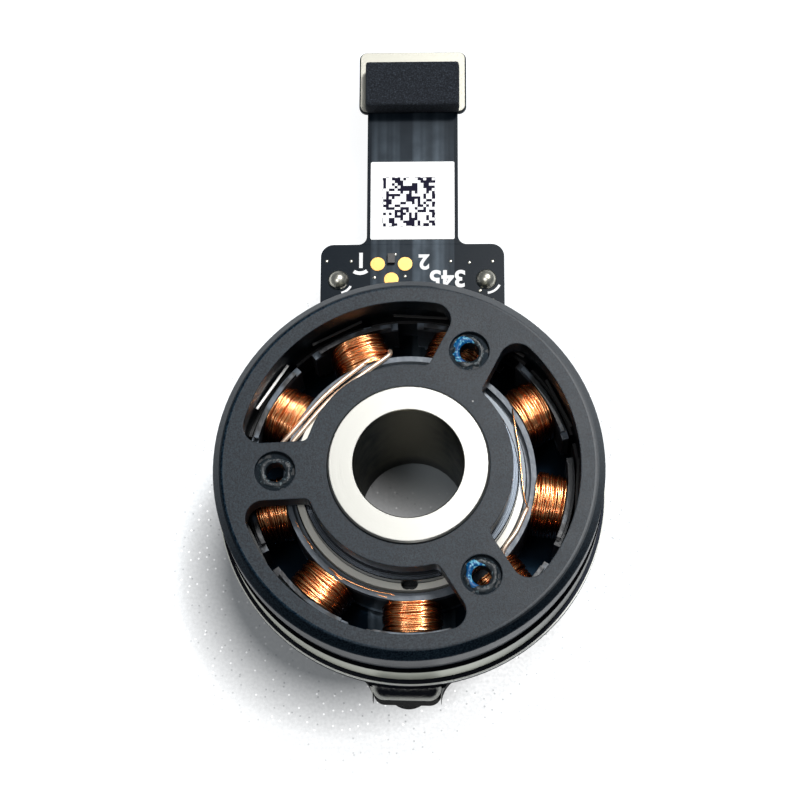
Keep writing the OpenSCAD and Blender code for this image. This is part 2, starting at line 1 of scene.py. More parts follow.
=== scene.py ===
# %% [markdown]
# # A small gimbal motor
# The motor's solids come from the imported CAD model, in metres, with +Z along its axis and +Y
# towards the ribbon's plug. They keep their places. This script gives each of them its finish
# and makes what solids can't show well: the windings, their leads, the printed marks, the
# label and the foam. Every cell says what its piece is on the real motor, how it could be
# made, and why one way was chosen.

# %% Load the frame
import math
import random

import bmesh
import bpy
from mathutils import Matrix, Vector, noise


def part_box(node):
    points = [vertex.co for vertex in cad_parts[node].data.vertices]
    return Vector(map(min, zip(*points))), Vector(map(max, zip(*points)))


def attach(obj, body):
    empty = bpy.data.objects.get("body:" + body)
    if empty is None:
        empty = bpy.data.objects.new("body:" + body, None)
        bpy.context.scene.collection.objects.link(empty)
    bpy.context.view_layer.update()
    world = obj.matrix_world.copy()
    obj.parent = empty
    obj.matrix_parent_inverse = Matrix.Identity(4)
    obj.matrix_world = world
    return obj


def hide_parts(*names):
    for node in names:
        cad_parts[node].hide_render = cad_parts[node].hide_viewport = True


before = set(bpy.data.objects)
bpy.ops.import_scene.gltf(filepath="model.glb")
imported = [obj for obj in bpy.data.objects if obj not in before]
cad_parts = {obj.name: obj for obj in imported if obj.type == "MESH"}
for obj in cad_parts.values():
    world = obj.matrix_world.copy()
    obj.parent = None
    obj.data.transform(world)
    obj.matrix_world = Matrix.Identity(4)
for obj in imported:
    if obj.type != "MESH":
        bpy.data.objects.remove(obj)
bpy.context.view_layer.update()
scene = bpy.context.scene
scene.view_settings.view_transform = "Standard"

# %% [markdown]
# ## Sizes that more than one piece needs
# A designer's sizes are in millimetres and Blender's are in metres, so one factor turns the
# first into the second. Heights come from the boxes of the CAD nodes, so that a mark lies on
# the board wherever the board is. HAIR is the play of a mask that looks for a face.

# %% Shared sizes
MM = 0.001
COILS = [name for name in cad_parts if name.startswith("coil_")]
MAGNETS = [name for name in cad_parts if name.startswith("magnet_")]
TOOTH_TURN = math.radians(31)
TOOTH_PITCH = math.tau / len(COILS)
BOARD_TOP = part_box("circuit_board")[1].z
FACE_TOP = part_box("rotor_bell")[1].z
CORE_LOW, CORE_HIGH = (corner.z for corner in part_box("stator_core")[:2])
STACK_MID = (CORE_LOW + CORE_HIGH) / 2
HOLE_CIRCLE = 8.5 * MM
HOLE_TURN = 62.7
SEAT_FLOOR = FACE_TOP - 0.3 * MM
FLANGE_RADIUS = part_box("rotor_bell")[1].x
CHAMFER = 0.55 * MM
BELL_WALL = 11.1 * MM
HAIR = 0.03 * MM
print("coils", len(COILS), "board top %.2f mm, face %.2f mm" % (BOARD_TOP / MM, FACE_TOP / MM))

# %% [markdown]
# ## Camera
# The photo was taken from close above, a little in front of the motor and to its right. A
# camera is a place, a direction and a lens. Its roll keeps the ribbon upright in the picture.

# %% Camera
VIEW_AZIMUTH = math.radians(6.0)
VIEW_ELEVATION = math.radians(73.1)
VIEW_ROLL = math.radians(-6.05)
VIEW_DISTANCE = 150 * MM
VIEW_TARGET = Vector((-0.68, 5.47, 9.0)) * MM
VIEW_LENS = 102.5


def turned_frame(azimuth, elevation, roll):
    """Columns that point right, up and back for a camera that looks from there."""
    back = Vector((
        math.sin(azimuth) * math.cos(elevation),
        -math.cos(azimuth) * math.cos(elevation),
        math.sin(elevation),
    ))
    right = Vector((math.cos(azimuth), math.sin(azimuth), 0))
    up = back.cross(right)
    rolled = right * math.cos(roll) + up * math.sin(roll)
    return Matrix((rolled, back.cross(rolled), back)).transposed()


camera_data = bpy.data.cameras.new("camera")
camera_data.lens = VIEW_LENS
camera_data.sensor_width = 36
camera_data.clip_start = 0.01
camera = bpy.data.objects.new("camera", camera_data)
scene.collection.objects.link(camera)
scene.camera = camera
turn = turned_frame(VIEW_AZIMUTH, VIEW_ELEVATION, VIEW_ROLL)
place = VIEW_TARGET + turn.col[2] * VIEW_DISTANCE
camera.matrix_world = Matrix.Translation(place) @ turn.to_4x4()
print("camera at", [round(c / MM, 1) for c in place], "mm")

# %% [markdown]
# ## Tools for meshes
# New pieces are made in a bmesh, which is a mesh that operators can shape. One helper turns
# it into an object at the origin, gives it its material, and makes it ride on its body.

# %% Mesh helpers
def to_object(name, bm, material, body, smooth=True):
    """Turns a bmesh into a shown piece that rides on a body."""
    mesh = bpy.data.meshes.new(name)
    bm.to_mesh(mesh)
    bm.free()
    mesh.materials.append(material)
    if smooth:
        mesh.shade_smooth()
    piece = bpy.data.objects.new(name, mesh)
    scene.collection.objects.link(piece)
    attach(piece, body)
    print("piece", name, "on", body)
    return piece


def wire_object(name, paths, radius, material, body, sides=1):
    """Sweeps a round wire along each list of points and keeps the result as a mesh."""
    curve = bpy.data.curves.new(name + "_curve", "CURVE")
    curve.dimensions = "3D"
    curve.bevel_depth = radius
    curve.bevel_resolution = sides
    curve.use_fill_caps = True
    for path in paths:
        spline = curve.splines.new("POLY")
        spline.points.add(len(path) - 1)
        for point, co in zip(spline.points, path):
            point.co = (*co, 1)
    swept = bpy.data.objects.new(name + "_swept", curve)
    mesh = bpy.data.meshes.new_from_object(swept)
    bpy.data.objects.remove(swept)
    bm = bmesh.new()
    bm.from_mesh(mesh)
    bpy.data.meshes.remove(mesh)
    return to_object(name, bm, material, body)


# %% [markdown]
# ## Shader tools
# A finish is a Principled BSDF with small changes over the surface. The same few changes
# come back in many finishes: fine grain, turning marks, and a mask of edges, on which a
# reflection is painted.
# Each is a node group with named inputs, made once and placed in every material. Short
# helpers build masks from the object's own coordinates, and a mask times a mask is where
# both of them hold.

# %% Node helpers
def new_group(name, inputs, outputs):
    """An empty shader group with its sockets, and its input and output nodes."""
    group = bpy.data.node_groups.new(name, "ShaderNodeTree")
    for label, kind, default in inputs:
        socket = group.interface.new_socket(label, in_out="INPUT", socket_type=kind)
        socket.default_value = default
    for label, kind in outputs:
        group.interface.new_socket(label, in_out="OUTPUT", socket_type=kind)
    return group, group.nodes.new("NodeGroupInput"), group.nodes.new("NodeGroupOutput")


def feed(tree, socket, value):
    """Gives a socket a number, a colour or another node's output."""
    if isinstance(value, tuple):
        socket.default_value = (*value, 1)
    elif isinstance(value, (int, float)):
        socket.default_value = value
    else:
        tree.links.new(value, socket)


def new_node(tree, kind, **values):
    """A shader node with values or other nodes' outputs on some of its inputs."""
    node = tree.nodes.new("ShaderNode" + kind)
    for label, value in values.items():
        feed(tree, node.inputs[label.replace("_", " ")], value)
    return node


def math_node(tree, operation, *values, clamp=False):
    """A math node, with outputs or numbers as its inputs. Gives its output."""
    node = tree.nodes.new("ShaderNodeMath")
    node.operation = operation
    node.use_clamp = clamp
    for socket, value in zip(node.inputs, values):
        feed(tree, socket, value)
    return node.outputs[0]


def times(tree, first, second):
    """The product of two values."""
    return math_node(tree, "MULTIPLY", first, second)


def above(tree, value, limit):
    """A mask of the places where the value is over the limit."""
    return math_node(tree, "GREATER_THAN", value, limit)


def below(tree, value, limit):
    """A mask of the places where the value is under the limit."""
    return math_node(tree, "LESS_THAN", value, limit)


def within(tree, value, middle, reach):
    """A mask of the places where the value is within reach of the middle."""
    return below(tree, math_node(tree, "ABSOLUTE", math_node(tree, "SUBTRACT", value, middle)), reach)


def mix_node(tree, factor, first, second):
    """A colour mix, with outputs or colours as its inputs. Gives its output."""
    node = tree.nodes.new("ShaderNodeMix")
    node.data_type = "RGBA"
    for index, value in ((0, factor), (6, first), (7, second)):
        feed(tree, node.inputs[index], value)
    return node.outputs[2]


def blend(tree, factor, first, second):
    """A value between two others. Gives its output."""
    node = tree.nodes.new("ShaderNodeMix")
    for index, value in ((0, factor), (2, first), (3, second)):
        feed(tree, node.inputs[index], value)
    return node.outputs[0]


def ramp(tree, source, start, end, low=0, high=1):
    """A value that goes from low to high while the source goes from start to end."""
    ends = {"From_Min": start, "From_Max": end, "To_Min": low, "To_Max": high}
    return new_node(tree, "MapRange", Value=source, **ends).outputs[0]


def object_place(tree):
    """The object's own coordinates, which move with it."""
    return tree.nodes.new("ShaderNodeTexCoord").outputs["Object"]


def split_axes(tree, vector=None):
    """X, Y and Z of a vector, or of the object's own coordinates."""
    split = tree.nodes.new("ShaderNodeSeparateXYZ")
    tree.links.new(vector or object_place(tree), split.inputs[0])
    return split.outputs


def noise_node(tree, place, scale, detail=2.0, rough=0.5):
    """Noise from 0 to 1. The scale counts its cells in a metre."""
    node = new_node(tree, "TexNoise", Vector=place, Scale=scale, Detail=detail, Roughness=rough)
    return node.outputs["Fac"]


def noise_line(tree, value, scale):
    """Noise from 0 to 1 along one value alone."""
    node = new_node(tree, "TexNoise", Scale=scale, Detail=2.0)
    node.noise_dimensions = "1D"
    tree.links.new(value, node.inputs["W"])
    return node.outputs["Fac"]


def dots(tree, place, scale, size, dimensions):
    """A mask of scattered round dots, and a random value for each dot."""
    node = new_node(tree, "TexVoronoi", Vector=place, Scale=scale)
    node.voronoi_dimensions = dimensions
    chance = new_node(tree, "SeparateColor", Color=node.outputs["Color"])
    return below(tree, node.outputs["Distance"], size), chance.outputs[0]


# %% [markdown]
# The grain of an anodised, painted or moulded surface is noise at two sizes. The group gives
# a height for a Bump node, and a soft mask of large patches where the finish is a little
# lighter or duller, as on any handled part.

# %% Grain group
grain_group, g_in, g_out = new_group(
    "fine_grain",
    [("Grain Scale", "NodeSocketFloat", 9000.0), ("Patch Scale", "NodeSocketFloat", 300.0)],
    [("Height", "NodeSocketFloat"), ("Patches", "NodeSocketFloat")],
)
g_place = object_place(grain_group)
for given, detail, made in (("Grain Scale", 3.0, "Height"), ("Patch Scale", 4.0, "Patches")):
    grain_group.links.new(
        noise_node(grain_group, g_place, g_in.outputs[given], detail), g_out.inputs[made],
    )
print("group", grain_group.name)

# %% [markdown]
# Turned metal has fine rings about the axis, which are the path of the tool. The distance
# from the axis, and the height along it, drive a one dimensional noise, so the marks run
# round the part on faces and on walls alike.

# %% Turning group
turn_group, t_in, t_out = new_group(
    "turning_marks",
    [("Marks Scale", "NodeSocketFloat", 12000.0)],
    [("Height", "NodeSocketFloat"), ("Radius", "NodeSocketFloat")],
)
t_x, t_y, t_z = split_axes(turn_group)
t_squares = math_node(turn_group, "ADD", times(turn_group, t_x, t_x), times(turn_group, t_y, t_y))
t_radius = math_node(turn_group, "SQRT", t_squares)
t_path = math_node(turn_group, "ADD", t_radius, t_z)
t_marks = noise_line(turn_group, t_path, t_in.outputs["Marks Scale"])
turn_group.links.new(t_marks, t_out.inputs["Height"])
turn_group.links.new(t_radius, t_out.inputs["Radius"])
print("group", turn_group.name)

# %% [markdown]
# The group finds edges, where the base's lug gets a painted reflection. Where the rounded
# normal of a Bevel node leaves the face's own normal, the point is near an edge. The group
# turns that difference into a mask.

# %% Edge group
edge_group, e_in, e_out = new_group(
    "edge_nearness", [("Width", "NodeSocketFloat", 0.12 * MM)], [("Edge", "NodeSocketFloat")],
)
e_bevel = new_node(edge_group, "Bevel", Radius=e_in.outputs["Width"])
e_bevel.samples = 6
e_normal = edge_group.nodes.new("ShaderNodeNewGeometry")
e_dot = edge_group.nodes.new("ShaderNodeVectorMath")
e_dot.operation = "DOT_PRODUCT"
edge_group.links.new(e_bevel.outputs[0], e_dot.inputs[0])
edge_group.links.new(e_normal.outputs["True Normal"], e_dot.inputs[1])
edge_group.links.new(ramp(edge_group, e_dot.outputs["Value"], 0.99, 0.9), e_out.inputs["Edge"])
print("group", edge_group.name)

# %% [markdown]
# ## Base of every material
# A material starts with a Principled BSDF whose plain values sit on its own sockets. A Bevel
# node rounds the hard edges of the solids by a few hundredths of a millimetre, which is what
# catches the light on a real edge. The Bump nodes add the grain to that normal.

# %% Material helper
def drive(shader, label, value):
    """Links a node's output to one of the shader's inputs."""
    shader.id_data.links.new(value, shader.inputs[label])


def new_material(name, color, metallic, rough, edge=0.04 * MM, **more):
    """A material with its shader, and a normal that rounds the solid's edges."""
    material = bpy.data.materials.new(name)
    material.use_nodes = True
    tree = material.node_tree
    shader = tree.nodes["Principled BSDF"]
    values = {"Base_Color": (*color, 1), "Metallic": metallic, "Roughness": rough, **more}
    for label, value in values.items():
        shader.inputs[label.replace("_", " ")].default_value = value
    bevel = new_node(tree, "Bevel", Radius=edge)
    bevel.samples = 4
    drive(shader, "Normal", bevel.outputs[0])
    return material, tree, shader, bevel.outputs[0]


def add_bump(tree, shader, normal, height, strength, depth=0.01 * MM):
    """Puts a height on the shader's normal."""
    bump = new_node(tree, "Bump", Strength=strength, Distance=depth, Height=height, Normal=normal)
    drive(shader, "Normal", bump.outputs[0])


def use_group(tree, group, **values):
    """Places a shader group with its own values."""
    node = tree.nodes.new("ShaderNodeGroup")
    node.node_tree = group
    for label, value in values.items():
        node.inputs[label.replace("_", " ")].default_value = value
    return node


def axis_radius(tree):
    """The distance from the motor's axis."""
    return use_group(tree, turn_group).outputs["Radius"]


def opened(material):
    """A material's node tree and its shader."""
    return material.node_tree, material.node_tree.nodes["Principled BSDF"]


def finish_node(name, material, also=()):
    """Gives the CAD node, and any others, their finish."""
    for node_name in (name, *also):
        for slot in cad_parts[node_name].material_slots:
            slot.material = material
    print("finish", material.name, "on", name, *also)


# %% [markdown]
# ## Black anodised bell
# The bell is turned from aluminium, blasted with fine beads and anodised black, so it is
# matt and even, with a trace of blue. Metal under a clear dark film shows as a dark surface
# with a soft, wide highlight. Fine grain breaks the light up. Masks from the place on the
# bell paint light and shade: painted shade in the seats of the holes, on the front of the
# chamfer, on the left of the line inside it and on the inner wall, and a painted highlight
# on the right of that line and at the back of the chamfer. A black, metallic spot mirrors
# nothing of the white paper, so this painted shade stays black at any slant.

# %% Bell finish
GRAINS_PER_PATCH = 25
SEAT_REACH = 1.4 * MM


def grained(name, color, metallic, rough, grain, bump, change=0.12, **more):
    """A material with fine grain, and patches that vary its colour and roughness."""
    material, tree, shader, normal = new_material(name, color, metallic, rough, **more)
    group = use_group(tree, grain_group, Grain_Scale=grain, Patch_Scale=grain / GRAINS_PER_PATCH)
    patches = group.outputs["Patches"]
    add_bump(tree, shader, normal, group.outputs["Height"], bump)
    darker = tuple(c * (1 - change) for c in color)
    lighter = tuple(c * (1 + change) for c in color)
    drive(shader, "Base Color", mix_node(tree, patches, darker, lighter))
    swing = math_node(tree, "MULTIPLY_ADD", patches, change, rough - change / 2)
    drive(shader, "Roughness", swing)
    return material


def bell_finish():
    """Black anodised metal with flecks and dust, and painted shade and highlights on its seats, chamfer and
    walls.
    """
    material = grained(
        "bell_black", (0.006, 0.009, 0.017), 0.0, 0.42, 13000, 1.0, edge=0.1 * MM, Specular_IOR_Level=0.26,
    )
    tree, shader = opened(material)
    place = object_place(tree)
    x, y, z = split_axes(tree)
    radius = axis_radius(tree)

    fleck = ramp(tree, noise_node(tree, place, 9500, 1), 0.3, 0.7)
    color = mix_node(tree, fleck, (0, 0.002, 0.006), (0.011, 0.021, 0.03))
    dot, chance = dots(tree, place, 260, 0.03, "3D")
    color = mix_node(tree, times(tree, dot, below(tree, chance, 0.5)), color, (0.3, 0.3, 0.3))
    in_arms = below(tree, radius, HOLE_CIRCLE + SEAT_REACH)
    in_seat = times(tree, within(tree, z, SEAT_FLOOR, HAIR), in_arms)
    # Painted shade in the seats of the holes: darker here, and blotched black in the mask below.
    color = mix_node(tree, in_seat, color, (0.006, 0.008, 0.01))

    at_rim = above(tree, radius, FLANGE_RADIUS - CHAMFER - 0.3 * MM)
    rounding = math_node(tree, "MULTIPLY_ADD", at_rim, 0.1 * MM, 0.1 * MM)
    on_side = above(tree, radius, FLANGE_RADIUS - HAIR)
    rounding = math_node(tree, "MULTIPLY_ADD", on_side, 0.25 * MM, rounding)
    tree.links.new(rounding, tree.nodes["Bevel"].inputs["Radius"])

    # Painted shade: black towards the front of the chamfer, on the left of the line inside it and on the
    # inner wall, as a metal that mirrors nothing.
    high_up = above(tree, z, FACE_TOP - CHAMFER - 0.1 * MM)
    on_chamfer = times(tree, above(tree, radius, FLANGE_RADIUS - CHAMFER + HAIR), high_up)
    on_line = times(tree, within(tree, radius, FLANGE_RADIUS - CHAMFER, 0.13 * MM), high_up)
    painted_shade_line = times(tree, on_line, ramp(tree, x, 2 * MM, -7 * MM))
    in_wall = above(tree, radius, BELL_WALL - 0.3 * MM)
    in_wall = times(tree, in_wall, below(tree, radius, BELL_WALL + 0.05 * MM))
    in_wall = times(tree, in_wall, below(tree, z, FACE_TOP - 0.15 * MM))
    black = times(tree, in_wall, 0.9)
    for mask in (
        times(tree, in_seat, above(tree, noise_node(tree, place, 1500, 3), 0.42)),
        times(tree, on_chamfer, ramp(tree, y, 0, -10 * MM)),
        painted_shade_line,
    ):
        black = math_node(tree, "MAXIMUM", black, mask)
    drive(shader, "Metallic", black)

    # Painted highlight: the line is lighter on the right, and the chamfer lighter at the back.
    painted_glint = times(tree, on_line, ramp(tree, x, 4 * MM, 11 * MM, 0, 0.07))
    painted_back_highlight = times(tree, on_chamfer, ramp(tree, y, -6 * MM, 4 * MM, 0, 0.05))
    lighter = math_node(tree, "SUBTRACT", math_node(tree, "MAXIMUM", painted_glint, painted_back_highlight), painted_shade_line, clamp=True)
    drive(shader, "Base Color", mix_node(tree, lighter, color, (1, 1, 1)))
    return material


finish_node("rotor_bell", bell_finish())

# %% [markdown]
# ## Turned steel
# The shaft's face is bright, finely turned steel, and the ring round the magnets is a duller,
# greenish plated steel. Both are full metals. The turning marks tilt the normal and vary the
# roughness a little. The shaft's bore is stained, with painted light on its back wall and
# painted shade at its foot. The ring has painted shade: black at its top and dark on the
# right. The clamp ring is painted pale at the front left, as light, and dark towards the
# right and the back, as shade.

# %% Steel finishes
FACE_STEEL = (0.335, 0.33, 0.306)
RING_COLOR = (0.38, 0.39, 0.33)
BORE_RADIUS = 3.55 * MM
RING_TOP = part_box("flux_ring")[1].z


def turned(name, color, rough, marks, bump, **more):
    """Turned metal with rings about the axis."""
    material, tree, shader, normal = new_material(name, color, 1.0, rough, **more)
    height = use_group(tree, turn_group, Marks_Scale=marks).outputs["Height"]
    add_bump(tree, shader, normal, height, bump)
    drive(shader, "Roughness", math_node(tree, "MULTIPLY_ADD", height, 0.15, rough - 0.07))
    return material


def shaft_finish():
    """Bright steel with a stained bore, painted light at its back and painted shade at its foot."""
    material = turned("shaft_steel", FACE_STEEL, 0.36, 14000, 0.12)
    tree, shader = opened(material)
    x, y, z = split_axes(tree)
    stain = ramp(tree, noise_node(tree, object_place(tree), 900, 3), 0.35, 0.65)
    bore_stain_light_and_shade = mix_node(tree, stain, (0.006, 0.007, 0.004), (0.11, 0.112, 0.074))
    # Painted light on the back wall of the bore.
    bore_stain_light_and_shade = mix_node(tree, ramp(tree, y, 2.6 * MM, 3.5 * MM), bore_stain_light_and_shade, (0.3, 0.27, 0.19))
    # Painted shade at the foot of the bore.
    bore_stain_light_and_shade = mix_node(tree, ramp(tree, z, 2.4 * MM, 1 * MM, 0, 0.8), bore_stain_light_and_shade, (0.002, 0.002, 0.002))
    in_bore = below(tree, axis_radius(tree), BORE_RADIUS)
    drive(shader, "Base Color", mix_node(tree, in_bore, FACE_STEEL, bore_stain_light_and_shade))
    return material


def ring_finish():
    """Greenish steel with painted shade: black in the groove at its top and dark on the right."""
    material = turned("ring_steel", RING_COLOR, 0.42, 9000, 0.2, Specular_IOR_Level=0.0)
    tree, shader = opened(material)
    x, y, z = split_axes(tree)
    # Painted shade: the ring is black near its top, under the bell's flange.
    clear_of_painted_shade = ramp(tree, z, RING_TOP - 0.25 * MM, RING_TOP - 0.45 * MM)
    # Painted shade: the ring darkens towards the right.
    painted_right_shade = mix_node(tree, ramp(tree, x, 4 * MM, 9.5 * MM, 0, 0.85), RING_COLOR, (0.03, 0.032, 0.033))
    drive(shader, "Base Color", mix_node(tree, clear_of_painted_shade, (0.003, 0.003, 0.004), painted_right_shade))
    drive(shader, "Metallic", clear_of_painted_shade)
    return material


def clamp_finish():
    """Plating painted pale at the front left as light, and dark towards the right and back as shade."""
    material = turned("clamp_steel", (0.42, 0.41, 0.36), 0.36, 9000, 0.15)
    tree, shader = opened(material)
    x, y, z = split_axes(tree)
    # Painted light and shade: pale and dull at the front left, a dark metal towards the right and the back.
    painted_shade_right_back = times(tree, ramp(tree, x, -1 * MM, 5 * MM), ramp(tree, y, -3.5 * MM, -0.5 * MM))
    drive(shader, "Metallic", painted_shade_right_back)
    drive(shader, "Base Color", mix_node(tree, painted_shade_right_back, (0.8, 0.78, 0.7), (0.1, 0.11, 0.12)))
    return material


finish_node("hollow_shaft", shaft_finish(), ["lock_collar", "shim_washer", "race_spacer"])
finish_node("flux_ring", ring_finish())
finish_node("bearing_sleeve", turned("sleeve_steel", (0.11, 0.125, 0.145), 0.24, 16000, 0.15))
finish_node("stator_clamp_ring", clamp_finish())
finish_node("upper_inner_race", turned("bearing_steel", (0.6, 0.6, 0.62), 0.2, 18000, 0.08), [
    "upper_outer_race", "lower_inner_race", "lower_outer_race", "upper_balls", "lower_balls",
])
finish_node("upper_cage", turned("cage_brass", (0.7, 0.5, 0.22), 0.3, 9000, 0.1), ["lower_cage"])

# %% [markdown]
# ## Base
# The base is coated black, with a rim plate whose outer edge was turned bright after the
# coating. A mask from the distance to the axis bares the metal there, with no second mesh.
# The lug's top edges are painted bright in the same way, where the edge group finds them, as a painted
# reflection of the white paper.

# %% Base finish
RIM_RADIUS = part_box("base_housing")[1].x
RIM_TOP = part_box("base_housing")[1].z
BASE_COLOR = (0.008, 0.009, 0.012)


def base_finish():
    """Black coat, laid open to the metal at the rim's edge, with a painted reflection along the lug's edges.
    """
    material, tree, shader, normal = new_material(
        "base_black", BASE_COLOR, 0.9, 0.4, Specular_Tint=(0, 0, 0, 1),
    )
    grain = use_group(tree, grain_group, Grain_Scale=11000, Patch_Scale=400)
    add_bump(tree, shader, normal, grain.outputs["Height"], 0.3)
    x, y, z = split_axes(tree)
    radius = axis_radius(tree)
    on_rim = times(tree, within(tree, radius, RIM_RADIUS, 0.08 * MM), above(tree, z, RIM_TOP - 0.3 * MM))
    facing = split_axes(tree, tree.nodes.new("ShaderNodeNewGeometry").outputs["True Normal"])
    # Painted reflection: the lug's top edges are bright, as the paper they mirror.
    on_lug = times(tree, above(tree, radius, RIM_RADIUS + 0.1 * MM), above(tree, facing[2], 0.5))
    edge = use_group(tree, edge_group, Width=0.55 * MM).outputs["Edge"]
    bare_rim_and_painted_glint = math_node(tree, "MAXIMUM", on_rim, times(tree, above(tree, edge, 0.3), on_lug))
    drive(shader, "Base Color", mix_node(tree, bare_rim_and_painted_glint, BASE_COLOR, (0.9, 0.9, 0.84)))
    drive(shader, "Metallic", ramp(tree, bare_rim_and_painted_glint, 0, 1, 0.9, 0))
    return material


finish_node("base_housing", base_finish())

# %% [markdown]
# ## Stator
# The end plates are coated with grey epoxy powder, lumpy and half glossy, so the finish gets
# a thin coat. Past the yoke the powder is painted nearly black, as shade inside the bell,
# with blotches of the grey. The laminations and the magnets are nearly black.

# %% Stator finishes
YOKE_RADIUS = 8.3 * MM


def lumpy_powder():
    """Grey powder coat, lumpy, and painted dark past the yoke as shade, with blotches of the grey."""
    color = (0.1, 0.125, 0.155)
    material, tree, shader, normal = new_material("insulator_grey", color, 0.0, 0.38, Coat_Weight=0.3)
    place = object_place(tree)
    lumps = noise_node(tree, place, 1400, 3)
    add_bump(tree, shader, normal, lumps, 0.7, 0.06 * MM)
    # Painted shade: past the yoke the powder is nearly black, in blotches.
    outer = above(tree, axis_radius(tree), YOKE_RADIUS)
    blotch = ramp(tree, noise_node(tree, place, 600, 2), 0.5, 0.62)
    painted_shade_past_yoke = mix_node(tree, blotch, (0.008, 0.009, 0.011), color)
    inner_color = mix_node(tree, lumps, (0.05, 0.065, 0.085), (0.13, 0.155, 0.185))
    drive(shader, "Base Color", mix_node(tree, outer, inner_color, painted_shade_past_yoke))
    return material


core_grey = grained("core_grey", (0.01, 0.011, 0.014), 0.0, 0.5, 8000, 0.4, Coat_Weight=0.1)
insulator_grey = lumpy_powder()
magnet_black = grained("magnet_black", (0.006, 0.006, 0.007), 0.0, 0.5, 6000, 0.3, Specular_IOR_Level=0.3)
finish_node("stator_core", core_grey)
finish_node("insulator_top", insulator_grey, ["insulator_bottom"])
finish_node(MAGNETS[0], magnet_black, MAGNETS[1:])

# %% [markdown]
# Over each magnet a thin bevelled bar stands for the glint along the magnet's top edge, and
# all the bars are one piece that turns with the rotor. Their colour is painted: the bars on
# the left are bright, a painted highlight, and the rest dark, painted shade.

# %% Magnet edges
BAR_OUT = 10.82 * MM
BAR_TURN = math.radians(-3.7)
BAR_LOW = CORE_HIGH + 1.15 * MM
BAR_SIZE = Vector((0.18, 3.6, 0.1)) * MM
edge_glint, tree, shader, normal = new_material("edge_glint", (0.85, 0.84, 0.8), 0.6, 0.35, edge=0.0)
x, y, z = split_axes(tree)
# Painted highlight on the bars at the left, and painted shade on the rest.
painted_glint = times(tree, ramp(tree, x, -6 * MM, -8.5 * MM), ramp(tree, y, -1 * MM, 2 * MM))
drive(shader, "Base Color", mix_node(tree, painted_glint, (0.03, 0.03, 0.03), (0.95, 0.94, 0.9)))
bars = bmesh.new()
lift = Matrix.Translation((BAR_OUT, 0, BAR_LOW + BAR_SIZE.z / 2))
for node_name in MAGNETS:
    pitches = int(node_name.split("_")[1]) - 1
    bar_turn = Matrix.Rotation(pitches * math.tau / len(MAGNETS) + BAR_TURN, 4, "Z")
    bmesh.ops.create_cube(bars, size=1, matrix=bar_turn @ lift @ Matrix.Diagonal((*BAR_SIZE, 1)))
bmesh.ops.bevel(
    bars, geom=bars.edges[:], offset=0.025 * MM, offset_type="OFFSET", segments=2,
    affect="EDGES", profile=0.5, material=-1,
)
to_object("magnet_edges", bars, edge_glint, "rotor", smooth=False)

# %% [markdown]
# ## Windings
# Each tooth carries a winding of enamelled copper wire, laid by machine but not perfectly:
# turns crowd, ride over each other and cross at the top. A texture of lines would do from
# afar, but the photo looks straight into the windows, so every turn is modelled. One wire
# goes round the tooth, outwards in the lower layer and back in the upper one. Smooth noise
# that depends on the turn and on the place moves the wire a little, and a few turns at the
# top slant across the others.

# %% Winding sizes
WIRE_RADIUS = 0.066 * MM
COIL_IN = 8.28 * MM
COIL_OUT = 10.2 * MM
COIL_HALF_WIDTH = 1.88 * MM
COIL_HALF_HEIGHT = 2.58 * MM
TURNS_ACROSS = 13
LAYERS = 2
POINTS_PER_TURN = 40
ROUNDING = 0.62
WANDER = 0.07 * MM
STRAYS = 7
CROWN_START = 2.0 * MM
CROWN_RISE = 0.58 * MM
CROWN_LEAN = 0.16 * MM


def loop_place(angle, shrink):
    """Sideways and upright place on the winding's outline, drawn in by shrink."""
    c, s = math.cos(angle), math.sin(angle)
    wide = math.copysign(abs(c) ** ROUNDING, c) * (COIL_HALF_WIDTH - shrink)
    high = math.copysign(abs(s) ** ROUNDING, s) * (COIL_HALF_HEIGHT - shrink)
    return wide, high


def wound_point(outward, angle, shrink, seed):
    """A point of the wire in the tooth's own frame, moved a little by smooth noise."""
    wide, high = loop_place(angle, shrink)
    shift = noise.noise(Vector((wide / MM * 0.5, high / MM * 0.5, seed * 1.7)))
    lift = noise.noise(Vector((wide / MM * 0.7, high / MM * 0.7, seed * 2.3 + 40)))
    radius = min(max(outward + shift * WANDER * 2, COIL_IN + WIRE_RADIUS), COIL_OUT - WIRE_RADIUS)
    crown = min(max((high - CROWN_START) / CROWN_RISE, 0), 1)
    share_in = (COIL_OUT - radius) / (COIL_OUT - COIL_IN)
    radius -= crown * CROWN_LEAN * (1.6 * share_in - 0.5)
    wide *= 1 + lift * 0.01
    high *= 1 + lift * 0.012
    return Vector((math.sqrt(radius ** 2 - wide ** 2), wide, STACK_MID + high))


